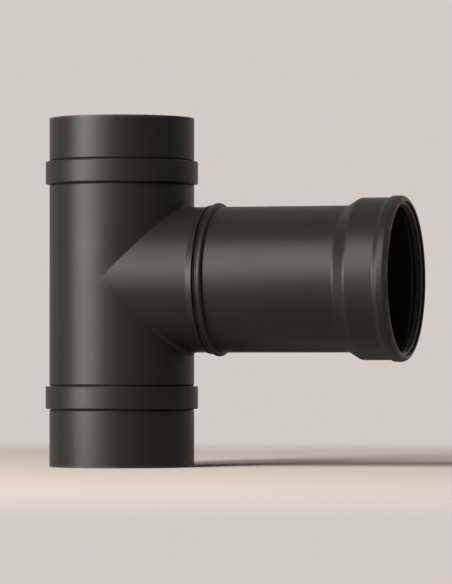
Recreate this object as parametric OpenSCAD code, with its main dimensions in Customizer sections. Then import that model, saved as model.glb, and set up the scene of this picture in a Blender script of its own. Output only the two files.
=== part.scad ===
// Stove pipe tee for an 80 mm flue: a straight run with a plain spigot and a stop band
// at each end, and a level branch that is welded to a mitred collar and ends in a sealed socket.
// The run stands along Z from the lower spigot's end at the origin, and the branch points along +X.

/* [Sheet] */
// Outside diameter of the run and of the branch pipe
tube_od = 80; // [70:1:100]
// Thickness of the sheet steel
wall = 1.2; // [0.8:0.1:1.5]
// Chamfer that deburrs the inner edges of the run's cut ends
deburr = 0.2; // [0.1:0.05:0.3]

/* [Run] */
// Length of the lower spigot, from its end to its stop band
lower_spigot_len = 32; // [20:0.5:60]
// Length of the upper spigot, from its stop band to its end
upper_spigot_len = 24; // [20:0.5:60]
// Plain tube between the lower band and the underside of the branch
lower_gap = 18.5; // [8:0.5:60]
// Plain tube between the top of the branch and the upper band
upper_gap = 13; // [8:0.5:60]

/* [Stop bands] */
// Height of each stop band
band_h = 12.5; // [8:0.5:20]
// How far each band stands out from the tube
band_rise = 2.1; // [1.6:0.1:4]
// Rounding of a band's outer edges
band_round = 0.7; // [0.4:0.1:0.9]
// Rounding of a band's edges against the tube
band_undercut = 0.5; // [0.2:0.1:0.6]
// Depth of the seat that is rolled into the tube for a band
seat_depth = 0.6; // [0.5:0.1:0.8]

/* [Collar] */
// How far the collar stands out from the run
collar_len = 13; // [12.5:0.5:30]
// Length of the collar's turned-out lip
lip_len = 3.5; // [2.5:0.5:4]
// How far the lip turns out from the collar
lip_rise = 1; // [0.6:0.1:1.5]
// Radius of the weld fillet between the run and the collar
weld_r = 2.5; // [1.5:0.25:3.5]

/* [Branch] */
// Width of the groove between the collar's lip and the stop bead
groove_w = 1.5; // [1:0.1:3]
// Width of the stop bead
bead_w = 3.6; // [3.4:0.1:6]
// How far the stop bead stands out from the pipe
bead_rise = 2.1; // [1.9:0.1:3]
// Length of plain pipe between the stop bead and the flare
plain_len = 73; // [20:0.5:200]
// Length of the flare that widens the pipe to the socket
flare_len = 7; // [6:0.5:12]
// How far the socket stands out from the pipe
socket_rise = 4.2; // [3.8:0.1:4.8]
// Length of the socket's straight wall, from the flare to the mouth bead
socket_len = 16; // [8:0.5:50]

/* [Mouth] */
// Length of the mouth bead that holds the seal
mouth_len = 8; // [8:0.25:12]
// How far the mouth bead stands out from the socket
mouth_rise = 1; // [0.8:0.1:1.2]
// How far the rolled-in lip stays clear of an inserted spigot
mouth_clear = 1.2; // [0.8:0.1:1.4]
// How far the seal's bore stays clear of an inserted spigot
seal_clear = 0.4; // [0.2:0.05:0.6]
// Length of the lead-in at the front of the seal's bore
lead_in = 0.6; // [0.4:0.1:0.8]

/* [Hidden] */
$fn = 180;

paint = "#2b2a26";
silicone = "#141414";

fit = 0.05;            // a band or a weld clear of the tube that it sits on
seat_gap = 0.2;        // a band clear of the ends of its seat
seal_fit = 0.15;       // the seal inside the mouth bead
seal_room = 0.6;       // free length behind the seal
mouth_slope = 2.1;     // length over which the socket steps out to the mouth bead
lip_flat = 0.4;        // straight end of the rolled-in lip
corner_steps = 4;      // straight facets in each rounded corner of a section
weld_step = 4;         // degrees between two sections of the mitre weld
weld_reach = 76;       // degrees round the run at which the mitre weld runs out
weld_arc_steps = 4;    // facets across the weld's hollow face
butt_gap = 0.1;        // the groove's weld clear of the collar's lip and the bead's foot

tube_r = tube_od / 2;
inner_r = tube_r - wall;
mid_r = tube_r - wall / 2;
seat_r = tube_r - seat_depth;

// Heights along the run
lower_band_z = lower_spigot_len;
axis_z = lower_band_z + band_h + lower_gap + tube_r;
upper_band_z = axis_z + tube_r + upper_gap;
run_len = upper_band_z + band_h + upper_spigot_len;

// Distances along the branch, measured from the run's axis
lip_x = tube_r + collar_len;
bead_x = lip_x + groove_w;
flare_x = bead_x + bead_w + plain_len;
socket_x = flare_x + flare_len;
mouth_x = socket_x + socket_len;
reach = mouth_x + mouth_len;
seal_front_x = reach - wall - seal_fit;
seal_back_x = mouth_x + mouth_slope + seal_room;

// Radii about the branch's axis, where a mid radius lies at the middle of the sheet
bead_mid_r = mid_r + bead_rise;
socket_mid_r = mid_r + socket_rise;
mouth_mid_r = socket_mid_r + mouth_rise;
mouth_lip_r = tube_r + mouth_clear + wall / 2;
bead_round = 0.48 * min(bead_rise, bead_w - wall);
mouth_round = min(2.4, mouth_mid_r - mouth_lip_r - lip_flat);
seal_r = tube_r + seal_clear;

// Plane geometry of the turned sections. A point is [radius, distance along the axis],
// and a corner has its rounding radius as a third number.
function point(p) = [p.x, p.y];
function unit(v) = v / norm(v);
function left_of(v) = [-v.y, v.x];
function end_index(list) = len(list) - 1;
function reversed(list) = [for (i = [end_index(list):-1:0]) list[i]];

// The arc that rounds the corner b between its neighbours a and c
function corner(a, b, c, radius) =
    let (
        to_a = unit(a - b),
        to_c = unit(c - b),
        half = acos(to_a * to_c) / 2,
        centre = b + unit(to_a + to_c) * radius / sin(half),
        first = b + to_a * radius / tan(half) - centre,
        final = b + to_c * radius / tan(half) - centre,
        sweep = sign(cross(first, final)) * (180 - 2 * half),
        start = atan2(first.y, first.x)
    )
    [for (i = [0:corner_steps])
        let (angle = start + sweep * i / corner_steps)
        centre + radius * [cos(angle), sin(angle)]];

// An open line with its inner corners rounded
function rounded(path) =
    [for (i = [0:end_index(path)])
        each (i == 0 || i == end_index(path))
            ? [point(path[i])]
            : corner(point(path[i - 1]), point(path[i]), point(path[i + 1]), path[i][2])];

// A closed outline with every corner rounded
function rounded_loop(loop) =
    let (n = len(loop))
    [for (i = [0:n - 1])
        each corner(point(loop[(i + n - 1) % n]), point(loop[i]), point(loop[(i + 1) % n]), loop[i][2])];

// The line at a distance to the left of a path
function side(path, distance) =
    [for (i = [0:end_index(path)])
        let (
            a = max(i, 1),
            c = min(i, end_index(path) - 1),
            before = left_of(unit(path[a] - path[a - 1])),
            after = left_of(unit(path[c + 1] - path[c]))
        )
        path[i] + distance * (before + after) / (1 + before * after)];

// The half circle that closes a rounded sheet edge at the end of a path
function round_edge(path) =
    let (
        end = path[end_index(path)],
        along = unit(end - path[end_index(path) - 1])
    )
    [for (i = [1:corner_steps - 1])
        let (angle = 180 * i / corner_steps)
        end + wall / 2 * (cos(angle) * left_of(along) + sin(angle) * along)];

// The section of a sheet that follows a path at its middle, with a rounded edge at the end
function sheet(path) =
    concat(side(path, wall / 2), round_edge(path), reversed(side(path, -wall / 2)));

// Turns a section about the branch's axis
module turned_branch(section) {
    translate([0, 0, axis_z])
        rotate([0, 90, 0])
            rotate_extrude()
                polygon(section);
}

// The space on the branch's side of the two mitre planes, out to a distance from the run's axis
module mitre_space(depth) {
    translate([0, 0, axis_z])
        rotate([90, 0, 0])
            linear_extrude(height = 4 * tube_od, center = true)
                polygon([[0, 0], [depth, depth], [depth, -depth]]);
}

// The four corners where one side of the sheet steps in over a band's seat and out again,
// with the room that the step leaves beyond the band's edges
function seat(side_r, base_z, room) =
    [
        [side_r, base_z - room],
        [side_r - seat_depth, base_z - room],
        [side_r - seat_depth, base_z + band_h + room],
        [side_r, base_z + band_h + room]
    ];

// The straight tube with its two cut ends and two band seats, notched where the branch enters
module run_tube() {
    color(paint)
        difference() {
            rotate_extrude()
                polygon(concat(
                    [[inner_r + deburr, 0], [tube_r, 0]],
                    seat(tube_r, lower_band_z, seat_gap),
                    seat(tube_r, upper_band_z, seat_gap),
                    [[tube_r, run_len], [inner_r + deburr, run_len], [inner_r, run_len - deburr]],
                    reversed(seat(inner_r, upper_band_z, seat_gap + wall)),
                    reversed(seat(inner_r, lower_band_z, seat_gap + wall)),
                    [[inner_r, deburr]]
                ));
            mitre_space(tube_r + wall);
        }
}

module stop_band(base_z) {
    inside = seat_r + fit;
    outside = tube_r + band_rise;
    color(paint)
        rotate_extrude()
            polygon(rounded_loop([
                [inside, base_z, band_undercut],
                [outside, base_z, band_round],
                [outside, base_z + band_h, band_round],
                [inside, base_z + band_h, band_undercut]
            ]));
}

module upper_band() {
    stop_band(upper_band_z);
}

module lower_band() {
    stop_band(lower_band_z);
}

// The mitred stub that ends in a turned-out lip
module branch_collar() {
    path = rounded([
        [mid_r, 0],
        [mid_r, lip_x - wall / 2 - lip_len, 5],
        [mid_r + lip_rise, lip_x - wall / 2]
    ]);
    color(paint)
        intersection() {
            turned_branch(sheet(path));
            mitre_space(lip_x + wall);
        }
}

// The hollow fillet that a ball leaves as it rolls along the mitre between the two tubes.
// Each section has its root on the mitre and its arc from the run's wall to the collar's wall.
module mitre_weld_half() {
    count = round(2 * weld_reach / weld_step);
    step = 2 * weld_reach / count;
    root_r = tube_r / cos(step / 2);
    roll_r = root_r + weld_r;
    ring = weld_arc_steps + 2;
    points = [for (i = [0:count])
        let (
            angle = -weld_reach + i * step,
            centre = [roll_r * cos(angle), roll_r * sin(angle), roll_r * cos(angle)],
            root = [root_r * cos(angle), root_r * sin(angle), root_r * cos(angle)],
            to_run = [-cos(angle), -sin(angle), 0],
            to_collar = [0, -sin(angle), -cos(angle)],
            spread = acos(to_run * to_collar)
        )
        each concat([root], [for (k = [0:weld_arc_steps])
            let (
                share = k / weld_arc_steps,
                aim = (sin((1 - share) * spread) * to_run + sin(share * spread) * to_collar) / sin(spread)
            )
            centre + weld_r * aim])];
    skin = [for (i = [0:count - 1], k = [0:ring - 1])
        let (
            here = i * ring + k,
            beside = i * ring + (k + 1) % ring
        )
        each [[here, beside, beside + ring], [here, beside + ring, here + ring]]];
    first_end = [for (k = [1:ring - 2]) [0, k + 1, k]];
    last_end = [for (k = [1:ring - 2]) [for (v = [0, k, k + 1]) count * ring + v]];
    polyhedron(points = points, faces = concat(skin, first_end, last_end));
}

module mitre_weld() {
    color(paint)
        translate([0, 0, axis_z]) {
            mitre_weld_half();
            mirror([0, 0, 1]) mitre_weld_half();
        }
}

// The branch pipe from the end that butts on the collar's lip to the rolled mouth of its socket
module branch_tube() {
    path = rounded([
        [mid_r, lip_x],
        [mid_r, bead_x + wall / 2, bead_round],
        [bead_mid_r, bead_x + wall / 2, bead_round],
        [bead_mid_r, bead_x + bead_w - wall / 2, bead_round],
        [mid_r, bead_x + bead_w - wall / 2, bead_round],
        [mid_r, flare_x, 4],
        [socket_mid_r, socket_x, 3],
        [socket_mid_r, mouth_x, 3],
        [mouth_mid_r, mouth_x + mouth_slope, 2],
        [mouth_mid_r, reach - wall / 2, mouth_round],
        [mouth_lip_r, reach - wall / 2]
    ]);
    color(paint) turned_branch(sheet(path));
}

// The weld in the bottom of the groove, from the collar's lip to the foot of the stop bead
module groove_weld() {
    base_r = tube_r + fit;
    start_x = lip_x + butt_gap / 2;
    color(paint)
        turned_branch([
            [base_r, start_x],
            [base_r + 0.6 * lip_rise, start_x],
            [base_r, bead_x + wall / 2 - bead_round - butt_gap / 2]
        ]);
}

module socket_seal() {
    back_r = mouth_mid_r - wall / 2 - seal_fit;
    color(silicone)
        turned_branch(rounded_loop([
            [seal_r, seal_back_x, 0.4],
            [back_r, seal_back_x, 1],
            [back_r, seal_front_x, mouth_round - wall / 2 - seal_fit],
            [seal_r + 1, seal_front_x, 0.3],
            [seal_r, seal_front_x - lead_in, 0.4]
        ]));
}

run_tube();
upper_band();
lower_band();
branch_collar();
mitre_weld();
branch_tube();
groove_weld();
socket_seal();
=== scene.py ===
"""The looks of a stove pipe tee: painted sheet steel, a mitred branch and a sealed socket.

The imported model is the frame. Each piece is modelled here over its solid, gets its finish,
and rides on the body of its solid. Lengths are in metres, the run stands along Z from the
lower spigot's end, and the branch points along +X at the height of its axis.
"""

import logging
import math
from abc import ABC, abstractmethod
from dataclasses import dataclass
from enum import Enum
from typing import Callable, Iterable

import bmesh
import bpy
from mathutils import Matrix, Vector


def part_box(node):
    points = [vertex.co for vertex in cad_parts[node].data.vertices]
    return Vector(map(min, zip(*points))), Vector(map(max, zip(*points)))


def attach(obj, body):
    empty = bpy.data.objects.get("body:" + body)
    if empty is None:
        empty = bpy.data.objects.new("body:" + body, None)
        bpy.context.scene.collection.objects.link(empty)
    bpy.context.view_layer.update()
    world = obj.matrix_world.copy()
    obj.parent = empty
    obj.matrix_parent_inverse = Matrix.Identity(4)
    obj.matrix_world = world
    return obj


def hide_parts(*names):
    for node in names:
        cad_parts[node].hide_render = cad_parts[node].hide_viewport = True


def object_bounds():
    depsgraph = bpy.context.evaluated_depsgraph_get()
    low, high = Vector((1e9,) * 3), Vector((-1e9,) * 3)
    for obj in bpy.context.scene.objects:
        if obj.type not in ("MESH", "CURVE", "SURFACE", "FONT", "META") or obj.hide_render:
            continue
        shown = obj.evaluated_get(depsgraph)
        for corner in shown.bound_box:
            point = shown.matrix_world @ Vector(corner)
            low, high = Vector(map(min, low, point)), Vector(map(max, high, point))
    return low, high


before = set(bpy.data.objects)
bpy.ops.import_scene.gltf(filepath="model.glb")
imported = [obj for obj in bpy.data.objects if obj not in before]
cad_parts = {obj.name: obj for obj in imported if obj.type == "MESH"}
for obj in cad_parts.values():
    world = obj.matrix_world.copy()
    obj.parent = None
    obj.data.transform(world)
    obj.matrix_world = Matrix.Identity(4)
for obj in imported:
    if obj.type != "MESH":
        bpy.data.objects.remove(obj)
CAD_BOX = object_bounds()

LOG = logging.getLogger("stove_pipe_tee")
MM = 0.001
MERGE_DISTANCE = 1e-7

Colour = tuple[float, float, float]
Direction = tuple[float, float, float]
Station = tuple[float, float]

NOWHERE: Direction = (0.0, 0.0, 0.0)
ALONG_X: Direction = (1.0, 0.0, 0.0)
ALONG_Y: Direction = (0.0, 1.0, 0.0)
ALONG_Z: Direction = (0.0, 0.0, 1.0)
DOWN: Direction = (0.0, 0.0, -1.0)


class Line(Enum):
    """The two axes that everything is turned about, by their directions."""

    RUN = ALONG_Z
    BRANCH = ALONG_X


class Slot(Enum):
    """The material slots of the part."""

    PAINT = "black_paint"
    SILICONE = "silicone"


@dataclass(frozen=True)
class Solid:
    """The box of one of the frame's solids at rest."""

    low: Vector
    high: Vector

    @classmethod
    def of(cls, node: str) -> "Solid":
        """Reads a solid's box from the frame."""
        return cls(*(Vector(corner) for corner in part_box(node)))

    @property
    def radius(self) -> float:
        """Half of the solid's width across the part: its outer radius."""
        return (self.high.y - self.low.y) / 2


@dataclass(frozen=True)
class TubeStock:
    """The sheet tube that run and branch are made of, and where the branch's axis lies."""

    radius: float
    length: float
    branch_height: float
    wall: float = 1.2 * MM

    @classmethod
    def in_frame(cls) -> "TubeStock":
        """Takes the run's size and the height of the branch's axis from the frame."""
        run, branch = Solid.of("run_tube"), Solid.of("branch_tube")
        return cls(run.radius, run.high.z, (branch.low.z + branch.high.z) / 2)

    @property
    def mid_radius(self) -> float:
        """Radius of the middle of the sheet."""
        return self.radius - self.wall / 2


@dataclass(frozen=True)
class Seat:
    """The shallow seat that is rolled into the run for each stop band."""

    depth: float = 0.6 * MM
    bend: float = 0.65 * MM
    end_gap: float = 0.2 * MM
    clearance: float = 0.05 * MM


@dataclass(frozen=True)
class Corner:
    """A corner of a section line: radius from the axis, place along it, and rounding."""

    radius: float
    along: float
    rounding: float = 0.0


def rounded_line(corners: list[Corner], steps: int = 6) -> list[Station]:
    """Rounds the corners of an open section line.

    Args:
        corners: The line's corners, of which the first and the last stay as they are.
        steps: The number of straight pieces in each rounded corner.

    Returns:
        The stations of the rounded line, each a radius and a place along the axis.
    """
    line: list[Station] = [(corners[0].radius, corners[0].along)]
    for before, corner, after in zip(corners, corners[1:], corners[2:]):
        line += rounded_corner(before, corner, after, steps)
    line.append((corners[-1].radius, corners[-1].along))
    return line


def rounded_loop(corners: list[Corner], steps: int = 5) -> list[Station]:
    """Rounds every corner of a closed section.

    Args:
        corners: The section's corners in order.
        steps: The number of straight pieces in each rounded corner.

    Returns:
        The stations of the section, the first one repeated at the end.
    """
    count = len(corners)
    loop: list[Station] = []
    for index, corner in enumerate(corners):
        loop += rounded_corner(corners[index - 1], corner, corners[(index + 1) % count], steps)
    return loop + loop[:1]


def rounded_corner(before: Corner, corner: Corner, after: Corner, steps: int) -> list[Station]:
    """Finds the arc that rounds one corner.

    Args:
        before: The corner before it.
        corner: The corner that is rounded.
        after: The corner after it.
        steps: The number of straight pieces in the arc.

    Returns:
        The stations of the arc, or the corner itself where it has no rounding.
    """
    point = Vector((corner.radius, corner.along))
    if corner.rounding <= 0:
        return [(point.x, point.y)]
    back = (Vector((before.radius, before.along)) - point).normalized()
    ahead = (Vector((after.radius, after.along)) - point).normalized()
    half = back.angle(ahead) / 2
    centre = point + (back + ahead).normalized() * corner.rounding / math.sin(half)
    first = point + back * corner.rounding / math.tan(half) - centre
    final = point + ahead * corner.rounding / math.tan(half) - centre
    start = math.atan2(first.y, first.x)
    turn = math.copysign(math.pi - 2 * half, first.x * final.y - first.y * final.x)
    arc = []
    for step in range(steps + 1):
        angle = start + turn * step / steps
        arc.append((centre.x + corner.rounding * math.cos(angle),
                    centre.y + corner.rounding * math.sin(angle)))
    return arc


def deselect_everything() -> None:
    """Leaves edit mode and deselects every object."""
    if bpy.context.object and bpy.context.object.mode != "OBJECT":
        bpy.ops.object.mode_set(mode="OBJECT")
    bpy.ops.object.select_all(action="DESELECT")


def work_on(piece: bpy.types.Object) -> None:
    """Makes a piece the only selected and the active object.

    Args:
        piece: The piece.
    """
    deselect_everything()
    piece.select_set(True)
    bpy.context.view_layer.objects.active = piece


@dataclass(frozen=True)
class Turner:
    """Turns section lines about one of the two axes, ring by ring."""

    line: Line
    height: float = 0.0
    segments: int = 240

    @classmethod
    def about_branch(cls, stock: TubeStock) -> "Turner":
        """The turner for what lies round the branch's axis."""
        return cls(Line.BRANCH, stock.branch_height)

    def point(self, along: float) -> Vector:
        """The point of the axis at a distance along it."""
        return Vector(self.line.value) * along + Vector(ALONG_Z) * self.height

    def spread(self, ratio: float) -> Vector:
        """The scale that changes a ring's radius and leaves its place along the axis."""
        return Vector([1.0 if part else ratio for part in self.line.value])

    def turn(self, name: str, stations: list[Station]) -> bpy.types.Object:
        """Extrudes a ring from station to station.

        Args:
            name: The new piece's name.
            stations: Radius and place along the axis of each ring. Where the last one is the
                first one again, the section is closed and its two rings are merged.

        Returns:
            The turned piece, with its place in its mesh and its faces outwards.
        """
        radius, along = stations[0]
        deselect_everything()
        tilt = (0.0, 0.0, 0.0) if self.line is Line.RUN else (0.0, math.pi / 2, 0.0)
        bpy.ops.mesh.primitive_circle_add(
            vertices=self.segments, radius=radius, location=self.point(along), rotation=tilt)
        piece = bpy.context.active_object
        piece.name = name
        piece.data.name = name
        bpy.ops.object.transform_apply(location=True, rotation=True, scale=True)
        bpy.ops.object.mode_set(mode="EDIT")
        bpy.ops.mesh.select_all(action="SELECT")
        for next_radius, next_along in stations[1:]:
            move = self.point(next_along) - self.point(along)
            bpy.ops.mesh.extrude_region_move(TRANSFORM_OT_translate={"value": move})
            bpy.ops.transform.resize(
                value=self.spread(next_radius / radius), center_override=self.point(next_along))
            radius, along = next_radius, next_along
        bpy.ops.mesh.select_all(action="SELECT")
        bpy.ops.mesh.remove_doubles(threshold=MERGE_DISTANCE)
        bpy.ops.mesh.normals_make_consistent(inside=False)
        bpy.ops.object.mode_set(mode="OBJECT")
        return piece


def thicken(piece: bpy.types.Object, wall: float) -> None:
    """Gives a turned middle surface the sheet's thickness, half to each side.

    Args:
        piece: The middle surface.
        wall: The sheet's thickness.
    """
    work_on(piece)
    sheet = piece.modifiers.new("Sheet thickness", "SOLIDIFY")
    sheet.thickness = wall
    sheet.offset = 0.0
    sheet.use_even_offset = True
    sheet.use_quality_normals = True
    bpy.ops.object.modifier_apply(modifier=sheet.name)


def soften(piece: bpy.types.Object, width: float, segments: int = 3,
           sharper_than: float = 50.0) -> None:
    """Rounds a piece's sharp edges and shades it smooth.

    Args:
        piece: The piece.
        width: How far the rounding reaches from an edge.
        segments: The number of faces across a rounded edge.
        sharper_than: The angle in degrees from which an edge counts as sharp.
    """
    work_on(piece)
    rounding = piece.modifiers.new("Rounded edges", "BEVEL")
    rounding.width = width
    rounding.segments = segments
    rounding.limit_method = "ANGLE"
    rounding.angle_limit = math.radians(sharper_than)
    rounding.use_clamp_overlap = True
    bpy.ops.object.modifier_apply(modifier=rounding.name)
    shade(piece)


def shade(piece: bpy.types.Object, sharper_than: float = 40.0, weight: int = 80) -> None:
    """Shades a piece smooth, with its large faces setting the normals.

    Args:
        piece: The piece.
        sharper_than: The angle in degrees from which an edge stays sharp.
        weight: How much a face's size counts, where 50 is nothing and 100 is all.
    """
    work_on(piece)
    bpy.ops.object.shade_smooth_by_angle(angle=math.radians(sharper_than))
    weighted = piece.modifiers.new("Face weighted normals", "WEIGHTED_NORMAL")
    weighted.keep_sharp = True
    weighted.weight = weight
    bpy.ops.object.modifier_apply(modifier=weighted.name)


@dataclass(frozen=True)
class Ramp:
    """A change from one value to another over a range, eased in and out unless it is linear."""

    low: float
    high: float
    to_low: float
    to_high: float
    linear: bool = False


@dataclass(frozen=True)
class Noise:
    """The make-up of a noise pattern: its layers of detail, and how strong the finer ones are."""

    detail: float
    roughness: float


class Nodes:
    """Adds and links the nodes of one tree."""

    spacing = 220.0

    def __init__(self, tree: bpy.types.NodeTree) -> None:
        """Keeps the tree that the nodes go into."""
        self.tree = tree

    def add(self, kind: str, **settings: object) -> bpy.types.Node:
        """Adds a node.

        Args:
            kind: The node's type.
            **settings: Its properties by name.

        Returns:
            The node.
        """
        node = self.tree.nodes.new(kind)
        for name, value in settings.items():
            setattr(node, name, value)
        node.location = (self.spacing * len(self.tree.nodes), 0.0)
        return node

    def feed(self, socket: bpy.types.NodeSocket, value: object) -> None:
        """Links an input to another node, or sets its value.

        Args:
            socket: The input.
            value: The socket that feeds it, or the value.
        """
        if isinstance(value, bpy.types.NodeSocket):
            self.tree.links.new(value, socket)
        else:
            socket.default_value = value

    def work_out(self, kind: str, output: str, given: Iterable[object],
                 **settings: object) -> bpy.types.NodeSocket:
        """Adds a node and feeds its inputs in order.

        Args:
            kind: The node's type.
            output: The name of the output that is wanted.
            given: The values of the first inputs, or the sockets that feed them.
            **settings: The node's properties by name.

        Returns:
            The output's socket.
        """
        node = self.add(kind, **settings)
        for socket, value in zip(node.inputs, given):
            self.feed(socket, value)
        return node.outputs[output]

    def maths(self, operation: str, *given: object, clamp: bool = False) -> bpy.types.NodeSocket:
        """Adds a Math node and returns its result."""
        return self.work_out("ShaderNodeMath", "Value", given, operation=operation, use_clamp=clamp)

    def times(self, first: object, second: object) -> bpy.types.NodeSocket:
        """Adds a product and returns it."""
        return self.maths("MULTIPLY", first, second)

    def dot(self, *given: object) -> bpy.types.NodeSocket:
        """Adds a dot product and returns it."""
        return self.work_out("ShaderNodeVectorMath", "Value", given, operation="DOT_PRODUCT")

    def length(self, *given: object) -> bpy.types.NodeSocket:
        """Adds the length of a vector and returns it."""
        return self.work_out("ShaderNodeVectorMath", "Value", given, operation="LENGTH")

    def noise(self, where: object, per_metre: object, noise: Noise) -> bpy.types.NodeSocket:
        """Adds a noise pattern and returns its value.

        Args:
            where: The socket of the position.
            per_metre: How many of its features lie along a metre.
            noise: The pattern's make-up.

        Returns:
            The pattern's socket.
        """
        node = self.add("ShaderNodeTexNoise")
        self.feed(node.inputs["Vector"], where)
        self.feed(node.inputs["Scale"], per_metre)
        self.feed(node.inputs["Detail"], noise.detail)
        self.feed(node.inputs["Roughness"], noise.roughness)
        return node.outputs["Fac"]

    def ramp(self, value: object, ramp: Ramp) -> bpy.types.NodeSocket:
        """Maps a value from one range to another.

        Args:
            value: The value's socket.
            ramp: The two ranges.

        Returns:
            The mapped value's socket.
        """
        given = (value, ramp.low, ramp.high, ramp.to_low, ramp.to_high)
        easing = "LINEAR" if ramp.linear else "SMOOTHSTEP"
        return self.work_out("ShaderNodeMapRange", "Result", given, clamp=True,
                             interpolation_type=easing)

    def blend(self, share: object, first: object, second: object) -> bpy.types.NodeSocket:
        """Blends two colours and returns the result.

        Args:
            share: How much of the second one shows.
            first: The first colour, or the socket that gives it.
            second: The second colour, or the socket that gives it.

        Returns:
            The blended colour's socket.
        """
        node = self.add("ShaderNodeMix", data_type="RGBA")
        self.feed(node.inputs["Factor"], share)
        colours = [socket for socket in node.inputs if socket.type == "RGBA"]
        for socket, colour in zip(colours, (first, second)):
            self.feed(socket, (*colour, 1.0) if isinstance(colour, tuple) else colour)
        return next(socket for socket in node.outputs if socket.type == "RGBA")


class Surface:
    """A new material with its shader, whose inputs are set or linked by name."""

    def __init__(self, name: str) -> None:
        """Makes the material and takes its shader.

        Args:
            name: The material's name.
        """
        self.material = bpy.data.materials.new(name)
        self.material.use_nodes = True
        self.nodes = Nodes(self.material.node_tree)
        self.shader = self.material.node_tree.nodes["Principled BSDF"]

    def position(self) -> bpy.types.NodeSocket:
        """Adds the position on the piece and returns it."""
        return self.nodes.add("ShaderNodeTexCoord").outputs["Object"]

    def facing(self) -> bpy.types.NodeSocket:
        """Adds the direction that the surface faces and returns it."""
        return self.nodes.add("ShaderNodeNewGeometry").outputs["Normal"]

    def set(self, name: str, value: object) -> None:
        """Sets one of the shader's inputs, or links a socket to it."""
        self.nodes.feed(self.shader.inputs[name], value)

    def set_bump(self, height: bpy.types.NodeSocket, strength: float, distance: float) -> None:
        """Lets a height disturb the way that the surface faces.

        Args:
            height: The height's socket.
            strength: How much of the disturbance shows.
            distance: How high a height of one stands out.
        """
        bump = self.nodes.add("ShaderNodeBump")
        self.nodes.feed(bump.inputs["Strength"], strength)
        self.nodes.feed(bump.inputs["Distance"], distance)
        self.nodes.feed(bump.inputs["Height"], height)
        self.set("Normal", bump.outputs["Normal"])


class ShaderGroup(ABC):
    """A shader node group that is built once and placed in each material with its own values."""

    name = "Effect"
    inputs: dict[str, float | Direction] = {}
    outputs: tuple[str, ...] = ()

    def __init__(self) -> None:
        """Builds the group's sockets and nodes."""
        self.tree = bpy.data.node_groups.new(self.name, "ShaderNodeTree")
        self.inside = Nodes(self.tree)
        for name, value in self.inputs.items():
            kind = "NodeSocketVector" if isinstance(value, tuple) else "NodeSocketFloat"
            socket = self.tree.interface.new_socket(name, in_out="INPUT", socket_type=kind)
            socket.default_value = value
        for name in self.outputs:
            self.tree.interface.new_socket(name, in_out="OUTPUT", socket_type="NodeSocketFloat")
        self.entry = self.inside.add("NodeGroupInput")
        self.exit = self.inside.add("NodeGroupOutput")
        self.make_nodes()

    @abstractmethod
    def make_nodes(self) -> None:
        """Makes and links the group's nodes."""

    def give(self, name: str, value: bpy.types.NodeSocket) -> None:
        """Links a socket to one of the group's outputs."""
        self.inside.feed(self.exit.inputs[name], value)

    def place(self, nodes: Nodes, **values: object) -> bpy.types.NodeOutputs:
        """Places the group in a material.

        Args:
            nodes: The material's nodes.
            **values: The values of the group's inputs, with underscores for spaces, or the
                sockets that feed them.

        Returns:
            The outputs of the group's node in the material.
        """
        node = nodes.add("ShaderNodeGroup")
        node.node_tree = self.tree
        for name, value in values.items():
            nodes.feed(node.inputs[name.replace("_", " ")], value)
        return node.outputs


class SprayGrain(ShaderGroup):
    """The fine grain of a sprayed or moulded surface, and its broad unevenness."""

    name = "Spray grain"
    inputs = {"Position": NOWHERE, "Grain per metre": 1500.0, "Mottle per metre": 22.0}
    outputs = ("Height", "Mottle")
    fine = Noise(detail=2.0, roughness=0.6)
    peel = Noise(detail=1.0, roughness=0.5)
    peel_scale = 0.28
    peel_height = 1.1
    slow = Noise(detail=3.0, roughness=0.55)
    blotches = Ramp(0.32, 0.68, 0.0, 0.8)
    speckle = Noise(detail=1.0, roughness=0.5)
    speckle_scale = 0.6
    specks = Ramp(0.5, 0.72, 0.0, 0.2)

    def make_nodes(self) -> None:
        """Fine grain and broader orange peel make the height, blotches and specks the mottle."""
        inside, given = self.inside, self.entry.outputs
        position, grain = given["Position"], given["Grain per metre"]
        fine = inside.noise(position, grain, self.fine)
        peel = inside.noise(position, inside.times(grain, self.peel_scale), self.peel)
        slow = inside.noise(position, given["Mottle per metre"], self.slow)
        speckle = inside.noise(position, inside.times(grain, self.speckle_scale), self.speckle)
        blotches = inside.ramp(slow, self.blotches)
        specks = inside.ramp(speckle, self.specks)
        self.give("Height", inside.maths("MULTIPLY_ADD", peel, self.peel_height, fine))
        self.give("Mottle", inside.maths("ADD", blotches, specks, clamp=True))


class RimRubAndHighlight(ShaderGroup):
    """Paint that handling has polished near the two ends of a piece: real rim wear whose lighter
    paint is also a painted highlight along the rims.
    """

    name = "Rim rub"
    inputs = {"Position": NOWHERE, "Direction": ALONG_Z, "First end": 0.0, "Second end": 0.1,
              "Reach": 2.0 * MM}
    outputs = ("Mask",)
    fade = Ramp(0.0, 1.0, 1.0, 0.0)
    patches = Noise(detail=3.0, roughness=0.55)
    patches_per_metre = 190.0
    patch_strength = Ramp(0.3, 0.65, 0.25, 1.0)
    scuffs = Noise(detail=2.0, roughness=0.6)
    scuffs_per_metre = 1700.0
    scuff_strength = Ramp(0.35, 0.6, 0.45, 1.0)

    def make_nodes(self) -> None:
        """The distance to the nearer end fades out and is softly broken up by two noises."""
        inside, given = self.inside, self.entry.outputs
        position = given["Position"]
        along = inside.dot(position, given["Direction"])
        to_first = inside.maths("ABSOLUTE", inside.maths("SUBTRACT", along, given["First end"]))
        to_second = inside.maths("ABSOLUTE", inside.maths("SUBTRACT", along, given["Second end"]))
        nearest = inside.maths("MINIMUM", to_first, to_second)
        near = inside.ramp(inside.maths("DIVIDE", nearest, given["Reach"]), self.fade)
        patches = inside.noise(position, self.patches_per_metre, self.patches)
        scuffs = inside.noise(position, self.scuffs_per_metre, self.scuffs)
        broken = inside.times(inside.ramp(patches, self.patch_strength),
                              inside.ramp(scuffs, self.scuff_strength))
        self.give("Mask", inside.times(near, broken))


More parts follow.
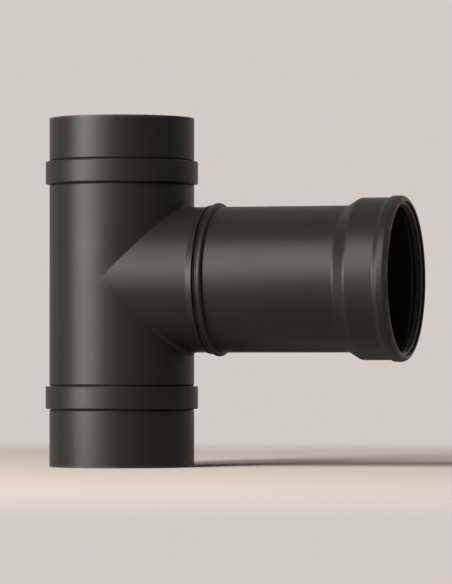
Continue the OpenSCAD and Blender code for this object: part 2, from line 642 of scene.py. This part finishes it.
class SeamLine(ShaderGroup):
    """The flat weld line along a rolled tube, on one side of its axis."""

    name = "Seam line"
    inputs = {"Position": NOWHERE, "Side": ALONG_Y, "Across": ALONG_X, "Side start": 0.0,
              "Width": 1.2 * MM}
    outputs = ("Height",)
    ridge = Ramp(0.35, 1.0, 1.0, 0.0)
    ripples = Noise(detail=1.0, roughness=0.4)
    ripples_per_metre = 900.0
    ripple_height = Ramp(0.3, 0.7, 0.6, 1.0)

    def make_nodes(self) -> None:
        """A narrow rounded ridge, rippled, on the given side only."""
        inside, given = self.inside, self.entry.outputs
        position = given["Position"]
        side = inside.dot(position, given["Side"])
        across = inside.maths("ABSOLUTE", inside.dot(position, given["Across"]))
        ridge = inside.ramp(inside.maths("DIVIDE", across, given["Width"]), self.ridge)
        there = inside.maths("GREATER_THAN", side, given["Side start"])
        ripples = inside.noise(position, self.ripples_per_metre, self.ripples)
        ripple = inside.ramp(ripples, self.ripple_height)
        self.give("Height", inside.times(inside.times(ridge, there), ripple))


class DustFilm(ShaderGroup):
    """A thin film of dust that settles on what faces up."""

    name = "Dust film"
    inputs = {"Position": NOWHERE, "Facing": NOWHERE}
    outputs = ("Mask",)
    settling = Ramp(0.35, 1.0, 0.0, 1.0)
    clouds = Noise(detail=4.0, roughness=0.6)
    clouds_per_metre = 45.0
    cloud_cover = Ramp(0.3, 0.75, 0.25, 1.0)
    specks = Noise(detail=1.0, roughness=0.5)
    specks_per_metre = 2600.0
    speck_cover = Ramp(0.45, 0.75, 0.5, 1.0)

    def make_nodes(self) -> None:
        """The upward share of the normal is broken up by two noises."""
        inside, given = self.inside, self.entry.outputs
        position = given["Position"]
        upward = inside.ramp(inside.dot(given["Facing"], ALONG_Z), self.settling)
        clouds = inside.noise(position, self.clouds_per_metre, self.clouds)
        specks = inside.noise(position, self.specks_per_metre, self.specks)
        cover = inside.times(inside.ramp(clouds, self.cloud_cover),
                             inside.ramp(specks, self.speck_cover))
        self.give("Mask", inside.times(upward, cover))


@dataclass(frozen=True)
class Effects:
    """The shared effects, built once."""

    grain: SprayGrain
    rub_and_highlight: RimRubAndHighlight
    seam: SeamLine
    dust: DustFilm

    @classmethod
    def build(cls) -> "Effects":
        """Builds each effect's node group."""
        return cls(SprayGrain(), RimRubAndHighlight(), SeamLine(), DustFilm())


@dataclass(frozen=True)
class StovePaint:
    """Matt black heat-resistant paint on a turned piece.

    The direction and the two ends place the rubbed rims, whose lighter worn paint is also a painted
    highlight, and the seam's side and the direction across it place the tube's weld line.
    """

    name: str
    direction: Direction
    first_end: float
    second_end: float
    seam_side: Direction
    seam_across: Direction
    seam_start: float
    # How strongly the rims are lightened: wear, and a painted highlight along the rims.
    wear_and_highlight: float
    black: Colour = (0.0058, 0.0053, 0.0045)
    mottle_gain: float = 1.25
    mottle: float = 0.5
    # Lighter worn paint at the rims, which also serves as a painted highlight.
    worn_and_highlight: Colour = (0.16, 0.155, 0.145)
    dusty: Colour = (0.20, 0.19, 0.175)
    dust: float = 0.03
    roughness: float = 0.42
    smoother: float = 0.02
    rougher: float = 0.03
    polish: float = 0.06
    dust_roughness: float = 0.12
    grain_per_metre: float = 1500.0
    seam_height: float = 4.2
    bump_strength: float = 0.5
    bump_distance: float = 0.05 * MM
    specular_level: float = 0.2
    refractive_index: float = 1.45

    def material(self, effects: Effects) -> bpy.types.Material:
        """Builds the paint.

        Args:
            effects: The shared effects.

        Returns:
            The material.
        """
        surface = Surface(self.name)
        nodes = surface.nodes
        position, facing = surface.position(), surface.facing()
        grain = effects.grain.place(nodes, Position=position, Grain_per_metre=self.grain_per_metre)
        rub_and_highlight = effects.rub_and_highlight.place(nodes, Position=position, Direction=self.direction,
                                First_end=self.first_end, Second_end=self.second_end)
        seam = effects.seam.place(nodes, Position=position, Side=self.seam_side,
                                  Across=self.seam_across, Side_start=self.seam_start)
        dust = effects.dust.place(nodes, Position=position, Facing=facing)

        # The rim mask lightens and polishes the paint: wear, and a painted highlight along the rims.
        worn_and_highlight = nodes.times(rub_and_highlight["Mask"], self.wear_and_highlight)
        mottled = nodes.blend(nodes.times(grain["Mottle"], self.mottle),
                              self.black, tuple(self.mottle_gain * part for part in self.black))
        rubbed_and_highlit = nodes.blend(worn_and_highlight, mottled, self.worn_and_highlight)
        dusted = nodes.blend(nodes.times(dust["Mask"], self.dust), rubbed_and_highlit, self.dusty)
        surface.set("Base Color", dusted)
        surface.set("Metallic", worn_and_highlight)

        sprayed = nodes.ramp(grain["Mottle"], Ramp(
            0.0, 1.0, self.roughness - self.smoother, self.roughness + self.rougher, linear=True))
        polished = nodes.maths("SUBTRACT", sprayed, nodes.times(rub_and_highlight["Mask"], self.polish))
        film = nodes.times(dust["Mask"], self.dust_roughness)
        surface.set("Roughness", nodes.maths("ADD", polished, film, clamp=True))

        height = nodes.maths("MULTIPLY_ADD", seam["Height"], self.seam_height, grain["Height"])
        surface.set_bump(height, self.bump_strength, self.bump_distance)
        surface.set("Specular IOR Level", self.specular_level)
        surface.set("IOR", self.refractive_index)
        return surface.material


@dataclass(frozen=True)
class Silicone:
    """Black moulded silicone, smoother than the paint."""

    name: str = "Black silicone"
    black: Colour = (0.011, 0.011, 0.011)
    bloom: Colour = (0.045, 0.044, 0.042)
    mottle: float = 0.3
    dust: float = 0.15
    roughness: float = 0.38
    smoother: float = 0.04
    rougher: float = 0.08
    grain_per_metre: float = 700.0
    mottle_per_metre: float = 60.0
    bump_strength: float = 0.2
    bump_distance: float = 0.04 * MM
    refractive_index: float = 1.41

    def material(self, effects: Effects) -> bpy.types.Material:
        """Builds the silicone.

        Args:
            effects: The shared effects.

        Returns:
            The material.
        """
        surface = Surface(self.name)
        nodes = surface.nodes
        position, facing = surface.position(), surface.facing()
        grain = effects.grain.place(nodes, Position=position, Grain_per_metre=self.grain_per_metre,
                                    Mottle_per_metre=self.mottle_per_metre)
        dust = effects.dust.place(nodes, Position=position, Facing=facing)
        bloomed = nodes.blend(nodes.times(grain["Mottle"], self.mottle), self.black, self.bloom)
        dusted = nodes.blend(nodes.times(dust["Mask"], self.dust), bloomed, self.bloom)
        surface.set("Base Color", dusted)
        surface.set("Roughness", nodes.ramp(grain["Mottle"], Ramp(
            0.0, 1.0, self.roughness - self.smoother, self.roughness + self.rougher, linear=True)))
        surface.set_bump(grain["Height"], self.bump_strength, self.bump_distance)
        surface.set("IOR", self.refractive_index)
        return surface.material


class SubAssembly(ABC):
    """A piece of the tee that is modelled over the solids it stands for."""

    nodes: tuple[str, ...] = ()
    slot = Slot.PAINT

    @abstractmethod
    def build(self) -> bpy.types.Object:
        """Models the piece and returns it."""

    def dress(self, piece: bpy.types.Object, material: bpy.types.Material) -> None:
        """Gives the piece its finish and its place in the frame.

        Args:
            piece: The piece that was built.
            material: Its finish.
        """
        piece.data.materials.clear()
        piece.data.materials.append(material)
        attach(piece, "root")
        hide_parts(*self.nodes)
        LOG.info("%s: %d faces, stands for %s", piece.name, len(piece.data.polygons),
                 ", ".join(self.nodes))


@dataclass(frozen=True)
class TeeBody(SubAssembly):
    """The run and the mitred collar, welded into one skin.

    An edge lies on a cut where both its ends are within on_the_cut of it, and the bridge's own
    corners are further than off_the_cut from both cuts. At the sides of the run, where the
    fillet's depth falls below the share in shallowest, they stay where the bridge put them.
    """

    nodes = ("run_tube", "branch_collar", "mitre_weld")

    stock: TubeStock
    bands: tuple[Solid, Solid]
    lip_end: float
    seat: Seat = Seat()
    lip_length: float = 3.5 * MM
    lip_rise: float = 1.0 * MM
    lip_round: float = 5.0 * MM
    fillet: float = 3.1 * MM
    fillet_cuts: int = 9
    fillet_merge: float = 0.005 * MM
    on_the_cut: float = 0.01 * MM
    off_the_cut: float = 0.001 * MM
    shallowest: float = 1e-3
    end_round: float = 0.3 * MM

    def run_line(self) -> list[Station]:
        """Draws the middle line of the run, with the seat under each band.

        Returns:
            The line's stations.
        """
        middle, half = self.stock.mid_radius, self.stock.wall / 2
        seated, slope, bend = middle - self.seat.depth, self.seat.depth / 2, self.seat.bend
        line = [Corner(middle, 0.0)]
        for band in self.bands:
            low = band.low.z - self.seat.end_gap - half
            high = band.high.z + self.seat.end_gap + half
            line += [Corner(middle, low - slope, bend), Corner(seated, low + slope, bend),
                     Corner(seated, high - slope, bend), Corner(middle, high + slope, bend)]
        return rounded_line(line + [Corner(middle, self.stock.length)], steps=3)

    def collar_line(self) -> list[Station]:
        """Draws the middle line of the collar, from the run's axis to its turned-out lip.

        Returns:
            The line's stations.
        """
        middle, half = self.stock.mid_radius, self.stock.wall / 2
        return rounded_line([
            Corner(middle, 0.0),
            Corner(middle, self.lip_end - half - self.lip_length, self.lip_round),
            Corner(middle + self.lip_rise, self.lip_end - half),
        ])

    @property
    def spread(self) -> float:
        """How much further than the mitre both tubes are cut, where a fillet's ball touches them."""
        return (self.stock.mid_radius + self.fillet) / self.stock.mid_radius

    def run_offset(self, point: Vector) -> float:
        """How far a point of the run lies inside the notch for the branch."""
        return self.spread * point.x - abs(point.z - self.stock.branch_height)

    def collar_offset(self, point: Vector) -> float:
        """How far a point of the collar lies short of its mitred end."""
        return self.spread * abs(point.z - self.stock.branch_height) - point.x

    def cut_away(self, piece: bpy.types.Object, planes: list[Vector],
                 offset: Callable[[Vector], float]) -> None:
        """Cuts a tube along planes through the crossing of the axes and deletes one side.

        Args:
            piece: The tube.
            planes: The normals of the planes.
            offset: How far a point lies on the side that is deleted.
        """
        work_on(piece)
        bpy.ops.object.mode_set(mode="EDIT")
        bpy.ops.mesh.select_mode(type="FACE")
        for normal in planes:
            mesh = bmesh.from_edit_mesh(piece.data)
            for face in mesh.faces:
                face.select_set(all(corner.co.x > -MERGE_DISTANCE for corner in face.verts))
            bmesh.update_edit_mesh(piece.data)
            bpy.ops.mesh.bisect(plane_co=(0.0, 0.0, self.stock.branch_height),
                                plane_no=normal.normalized(), threshold=MERGE_DISTANCE)
        bpy.ops.mesh.select_all(action="DESELECT")
        mesh = bmesh.from_edit_mesh(piece.data)
        for face in mesh.faces:
            face.select_set(offset(face.calc_center_median()) > 0)
        bmesh.update_edit_mesh(piece.data)
        bpy.ops.mesh.delete(type="FACE")
        bpy.ops.mesh.select_mode(type="VERT")
        bpy.ops.object.mode_set(mode="OBJECT")

    def on_fillet(self, point: Vector) -> Vector:
        """Moves a point of the straight bridge onto the ball that rolls along the mitre.

        Args:
            point: A point between the two cut ends.

        Returns:
            Its place on the fillet, the same share of the way round the ball.
        """
        middle, height = self.stock.mid_radius, self.stock.branch_height
        side = max(-1.0, min(1.0, point.y / middle))
        depth = math.sqrt(1.0 - side * side)
        if depth < self.shallowest:
            return point
        way = math.copysign(1.0, point.z - height)
        share = (point.x / depth - middle) / self.fillet
        centre = Vector((depth, side, way * depth)) * (middle + self.fillet)
        to_run = Vector((-depth, -side, 0.0))
        to_collar = Vector((0.0, -side, -way * depth))
        return centre + to_run.slerp(to_collar, share) * self.fillet + Vector(ALONG_Z) * height

    def bridge_fillet(self, piece: bpy.types.Object) -> None:
        """Bridges the two cut ends with the hollow fillet of the dressed weld.

        Args:
            piece: The joined skins of run and collar.
        """
        work_on(piece)
        bpy.ops.object.mode_set(mode="EDIT")
        bpy.ops.mesh.select_mode(type="EDGE")
        bpy.ops.mesh.select_all(action="DESELECT")
        mesh = bmesh.from_edit_mesh(piece.data)
        for edge in mesh.edges:
            if edge.is_boundary:
                for offset in (self.run_offset, self.collar_offset):
                    if all(abs(offset(end.co)) < self.on_the_cut for end in edge.verts):
                        edge.select_set(True)
        bmesh.update_edit_mesh(piece.data)
        bpy.ops.mesh.bridge_edge_loops(
            type="SINGLE", number_cuts=self.fillet_cuts, interpolation="LINEAR")
        bpy.ops.mesh.select_mode(type="VERT")
        mesh = bmesh.from_edit_mesh(piece.data)
        for corner in mesh.verts:
            if min(self.run_offset(corner.co), self.collar_offset(corner.co)) > self.off_the_cut:
                corner.co = self.on_fillet(corner.co)
        bmesh.update_edit_mesh(piece.data)
        bpy.ops.mesh.select_all(action="SELECT")
        bpy.ops.mesh.remove_doubles(threshold=self.fillet_merge)
        bpy.ops.mesh.normals_make_consistent(inside=False)
        bpy.ops.object.mode_set(mode="OBJECT")

    def build(self) -> bpy.types.Object:
        """Turns both tubes, cuts them to the mitre, welds them and gives them the sheet's wall.

        Returns:
            The welded skin.
        """
        run = Turner(Line.RUN).turn("tee_body", self.run_line())
        collar = Turner.about_branch(self.stock).turn("collar", self.collar_line())
        up_and_down = (1.0, -1.0)
        self.cut_away(run, [Vector((self.spread, 0.0, way)) for way in up_and_down], self.run_offset)
        self.cut_away(collar, [Vector((1.0, 0.0, way * self.spread)) for way in up_and_down],
                      self.collar_offset)
        work_on(run)
        collar.select_set(True)
        bpy.ops.object.join()
        self.bridge_fillet(run)
        thicken(run, self.stock.wall)
        soften(run, self.end_round)
        return run


@dataclass(frozen=True)
class StopBand(SubAssembly):
    """A flat hoop with rounded edges that lies in its seat on the run."""

    node: str
    stock: TubeStock
    solid: Solid
    seat: Seat = Seat()
    outer_round: float = 0.7 * MM
    inner_round: float = 0.5 * MM

    @property
    def nodes(self) -> tuple[str, ...]:
        """The band's own solid."""
        return (self.node,)

    def build(self) -> bpy.types.Object:
        """Turns the hoop's rounded section about the run's axis.

        Returns:
            The hoop.
        """
        start, end, outside = self.solid.low.z, self.solid.high.z, self.solid.radius
        inside = self.stock.radius - self.seat.depth + self.seat.clearance
        band = Turner(Line.RUN).turn(f"{self.node}_hoop", rounded_loop([
            Corner(inside, start, self.inner_round),
            Corner(outside, start, self.outer_round),
            Corner(outside, end, self.outer_round),
            Corner(inside, end, self.inner_round),
        ]))
        shade(band)
        return band


@dataclass(frozen=True)
class BranchPipe(SubAssembly):
    """The branch pipe with its stop bead, flare, socket and rolled-in mouth."""

    nodes = ("branch_tube",)

    stock: TubeStock
    solid: Solid
    groove: float = 1.5 * MM
    bead_width: float = 3.6 * MM
    bead_rise: float = 2.1 * MM
    bead_round: float = 1.0 * MM
    flare_length: float = 7.0 * MM
    flare_round: float = 4.0 * MM
    socket_length: float = 16.0 * MM
    socket_rise: float = 4.2 * MM
    socket_round: float = 3.0 * MM
    mouth_length: float = 8.0 * MM
    mouth_slope: float = 2.1 * MM
    mouth_back_round: float = 2.0 * MM
    mouth_front_round: float = 2.4 * MM
    lip_radius: float = 41.8 * MM
    end_round: float = 0.35 * MM

    def middle_line(self) -> list[Station]:
        """Draws the middle line of the pipe's sheet, from its butt end to the mouth's lip.

        Returns:
            The line's stations.
        """
        middle, half = self.stock.mid_radius, self.stock.wall / 2
        first = self.solid.low.x + self.groove + half
        last = first + self.bead_width - self.stock.wall
        mouth_start = self.solid.high.x - self.mouth_length
        socket_start = mouth_start - self.socket_length
        front = self.solid.high.x - half
        socket = middle + self.socket_rise
        mouth = self.solid.radius - half
        return rounded_line([
            Corner(middle, self.solid.low.x),
            Corner(middle, first, self.bead_round),
            Corner(middle + self.bead_rise, first, self.bead_round),
            Corner(middle + self.bead_rise, last, self.bead_round),
            Corner(middle, last, self.bead_round),
            Corner(middle, socket_start - self.flare_length, self.flare_round),
            Corner(socket, socket_start, self.socket_round),
            Corner(socket, mouth_start, self.socket_round),
            Corner(mouth, mouth_start + self.mouth_slope, self.mouth_back_round),
            Corner(mouth, front, self.mouth_front_round),
            Corner(self.lip_radius, front),
        ], steps=7)

    def build(self) -> bpy.types.Object:
        """Turns the middle line about the branch's axis and gives it the sheet's wall.

        Returns:
            The branch pipe.
        """
        pipe = Turner.about_branch(self.stock).turn("branch_pipe", self.middle_line())
        thicken(pipe, self.stock.wall)
        soften(pipe, self.end_round, segments=4, sharper_than=60.0)
        return pipe


@dataclass(frozen=True)
class GrooveWeld(SubAssembly):
    """The small weld at the bottom of the groove, between the collar's lip and the bead."""

    nodes = ("groove_weld",)

    stock: TubeStock
    solid: Solid
    clearance: float = 0.05 * MM
    base_round: float = 0.05 * MM
    crest_round: float = 0.06 * MM

    def build(self) -> bpy.types.Object:
        """Turns the weld's three-sided section about the branch's axis.

        Returns:
            The weld.
        """
        base = self.stock.radius + self.clearance
        start, end = self.solid.low.x, self.solid.high.x
        weld = Turner.about_branch(self.stock).turn("groove_bead", rounded_loop([
            Corner(base, start, self.base_round),
            Corner(self.solid.radius, start, self.crest_round),
            Corner(base, end, self.base_round),
        ]))
        shade(weld)
        return weld


@dataclass(frozen=True)
class SocketSeal(SubAssembly):
    """The ring seal in the mouth bead, with two grooves in its bore."""

    nodes = ("socket_seal",)
    slot = Slot.SILICONE

    stock: TubeStock
    solid: Solid
    bore: float = 40.4 * MM
    back_round: float = 0.4 * MM
    outer_back_round: float = 1.0 * MM
    outer_front_round: float = 1.65 * MM
    front_width: float = 1.0 * MM
    front_round: float = 0.3 * MM
    lead_in: float = 0.6 * MM
    lead_in_round: float = 0.2 * MM
    groove_places: tuple[float, float] = (1.15 * MM, 2.15 * MM)
    groove_depth: float = 0.35 * MM
    groove_half_width: float = 0.3 * MM
    groove_bottom_round: float = 0.1 * MM
    groove_edge_round: float = 0.08 * MM

    def grooves(self) -> list[Corner]:
        """Places the grooves in the bore, from the front one to the back one.

        Returns:
            Their corners.
        """
        bore, half = self.bore, self.groove_half_width
        corners = []
        for place in reversed(self.groove_places):
            middle = self.solid.low.x + place
            corners += [Corner(bore, middle + half, self.groove_edge_round),
                        Corner(bore + self.groove_depth, middle, self.groove_bottom_round),
                        Corner(bore, middle - half, self.groove_edge_round)]
        return corners

    def build(self) -> bpy.types.Object:
        """Turns the seal's section about the branch's axis.

        Returns:
            The seal.
        """
        back, front, outside = self.solid.low.x, self.solid.high.x, self.solid.radius
        seal = Turner.about_branch(self.stock).turn("seal_ring", rounded_loop([
            Corner(self.bore, back, self.back_round),
            Corner(outside, back, self.outer_back_round),
            Corner(outside, front, self.outer_front_round),
            Corner(self.bore + self.front_width, front, self.front_round),
            Corner(self.bore, front - self.lead_in, self.lead_in_round),
            *self.grooves(),
        ]))
        shade(seal)
        return seal


@dataclass(frozen=True)
class Softbox:
    """A rectangular lamp that looks at the tee."""

    name: str
    azimuth: float
    elevation: float
    distance: float
    width: float
    height: float
    watts: float
    colour: Colour = (1.0, 0.955, 0.90)

    def build(self, target: Vector) -> None:
        """Places the lamp and turns it to face the tee.

        Args:
            target: The tee's middle.
        """
        lamp = bpy.data.lights.new(self.name, "AREA")
        lamp.shape = "RECTANGLE"
        lamp.size = self.width
        lamp.size_y = self.height
        lamp.energy = self.watts
        lamp.color = self.colour
        holder = bpy.data.objects.new(self.name, lamp)
        bpy.context.scene.collection.objects.link(holder)
        holder.location = target + direction_from(self.azimuth, self.elevation) * self.distance
        holder.rotation_euler = (target - holder.location).to_track_quat("-Z", "Y").to_euler()


def direction_from(azimuth: float, elevation: float) -> Vector:
    """The direction from the tee to a viewer.

    Args:
        azimuth: Degrees round the run, from the front towards the branch.
        elevation: Degrees above the horizon.

    Returns:
        The unit direction.
    """
    side, rise = math.radians(azimuth), math.radians(elevation)
    return Vector((math.sin(side) * math.cos(rise), -math.cos(side) * math.cos(rise), math.sin(rise)))


@dataclass(frozen=True)
class Studio:
    """The pale floor and background, the soft lamps and the camera."""

    target: Vector
    pale: Colour = (0.66, 0.60, 0.55)
    ambient: Colour = (0.05, 0.048, 0.046)
    lamp_distance: float = 3.0
    camera_azimuth: float = 16.5
    camera_elevation: float = -1.0
    camera_distance: float = 2.4
    sensor_width: float = 36.0
    frame_width: float = 0.248
    sight: float = 50.0
    floor_reach: float = 0.9
    floor_sides: int = 96
    floor_inset: float = 0.5
    fade_start: float = 0.35
    fade_end: float = 0.98
    floor_roughness: float = 0.9
    floor_specular_level: float = 0.1

    def build(self) -> None:
        """Builds the whole studio."""
        self.add_floor()
        self.set_world()
        for lamp in self.lamps():
            lamp.build(self.target)
        self.add_camera()

    def lamps(self) -> tuple[Softbox, Softbox]:
        """A broad lamp that shows on the run, and a tall one that shows on the branch."""
        return (
            Softbox("Side softbox", azimuth=self.camera_azimuth - 60.0, elevation=7.0,
                    distance=self.lamp_distance, width=1.8, height=1.2, watts=180.0),
            Softbox("Front softbox", azimuth=self.camera_azimuth - 33.0, elevation=31.0,
                    distance=self.lamp_distance, width=0.6, height=2.3, watts=115.0),
        )

    def add_floor(self) -> None:
        """Adds a round floor that fades into the background at its edge."""
        deselect_everything()
        bpy.ops.mesh.primitive_circle_add(
            vertices=self.floor_sides, radius=self.floor_reach, fill_type="NGON")
        floor = bpy.context.active_object
        floor.name = "floor"
        bpy.ops.object.mode_set(mode="EDIT")
        bpy.ops.mesh.select_all(action="SELECT")
        bpy.ops.mesh.inset(thickness=self.floor_reach * self.floor_inset)
        bpy.ops.object.mode_set(mode="OBJECT")
        floor.data.materials.append(self.floor_material())

    def floor_material(self) -> bpy.types.Material:
        """Builds a pale matt finish that is clear at the floor's edge.

        Returns:
            The material.
        """
        surface = Surface("Pale floor")
        surface.set("Base Color", (*self.pale, 1.0))
        surface.set("Roughness", self.floor_roughness)
        surface.set("Specular IOR Level", self.floor_specular_level)
        from_centre = surface.nodes.length(surface.position())
        fade = Ramp(self.floor_reach * self.fade_start, self.floor_reach * self.fade_end, 1.0, 0.0)
        surface.set("Alpha", surface.nodes.ramp(from_centre, fade))
        return surface.material

    def set_world(self) -> None:
        """Sets a pale background to look at and to reflect, and a dim one to light with."""
        world = bpy.data.worlds.new("Studio")
        bpy.context.scene.world = world
        world.use_nodes = True
        nodes = Nodes(world.node_tree)
        background = world.node_tree.nodes["Background"]
        ray = nodes.add("ShaderNodeLightPath")
        seen = nodes.maths("MAXIMUM", ray.outputs["Is Camera Ray"], ray.outputs["Is Glossy Ray"])
        seen = nodes.maths("MAXIMUM", seen, ray.outputs["Is Transmission Ray"])
        nodes.feed(background.inputs["Color"], nodes.blend(seen, self.ambient, self.pale))
        background.inputs["Strength"].default_value = 1.0

    def add_camera(self) -> None:
        """Adds the camera at the picture's viewing angle."""
        lens = bpy.data.cameras.new("Camera")
        lens.sensor_fit = "HORIZONTAL"
        lens.sensor_width = self.sensor_width
        lens.lens = lens.sensor_width * self.camera_distance / self.frame_width
        lens.clip_end = self.sight
        camera = bpy.data.objects.new("Camera", lens)
        bpy.context.scene.collection.objects.link(camera)
        camera.location = self.target + self.camera_distance * direction_from(
            self.camera_azimuth, self.camera_elevation)
        camera.rotation_euler = (self.target - camera.location).to_track_quat("-Z", "Y").to_euler()
        bpy.context.scene.camera = camera


def main() -> None:
    """Builds and dresses every piece, then the studio round it."""
    effects = Effects.build()
    stock = TubeStock.in_frame()
    lower, upper = Solid.of("lower_band"), Solid.of("upper_band")
    branch = Solid.of("branch_tube")
    run_paint = StovePaint(
        "Stove paint on the run", direction=ALONG_Z, first_end=0.0, second_end=stock.length,
        seam_side=ALONG_Y, seam_across=ALONG_X, seam_start=0.0, wear_and_highlight=0.25).material(effects)
    # The branch's rub sits only at the mouth's rim, where its lighter paint is wear and partly a
    # painted highlight.
    branch_paint = StovePaint(
        "Stove paint on the branch", direction=ALONG_X, first_end=branch.high.x,
        second_end=branch.high.x, seam_side=DOWN, seam_across=ALONG_Y,
        seam_start=-stock.branch_height, wear_and_highlight=0.4).material(effects)
    silicone = Silicone().material(effects)

    for part, material in (
        (TeeBody(stock, (lower, upper), branch.low.x), run_paint),
        (StopBand("lower_band", stock, lower), run_paint),
        (StopBand("upper_band", stock, upper), run_paint),
        (BranchPipe(stock, branch), branch_paint),
        (GrooveWeld(stock, Solid.of("groove_weld")), branch_paint),
        (SocketSeal(stock, Solid.of("socket_seal")), silicone),
    ):
        part.dress(part.build(), material)

    low, high = (Vector(corner) for corner in CAD_BOX)
    Studio(target=(low + high) / 2).build()
    bpy.context.scene.view_settings.view_transform = "Standard"
    deselect_everything()


if __name__ == "__main__":
    logging.basicConfig(level=logging.INFO, format="%(name)s: %(message)s")
    main()
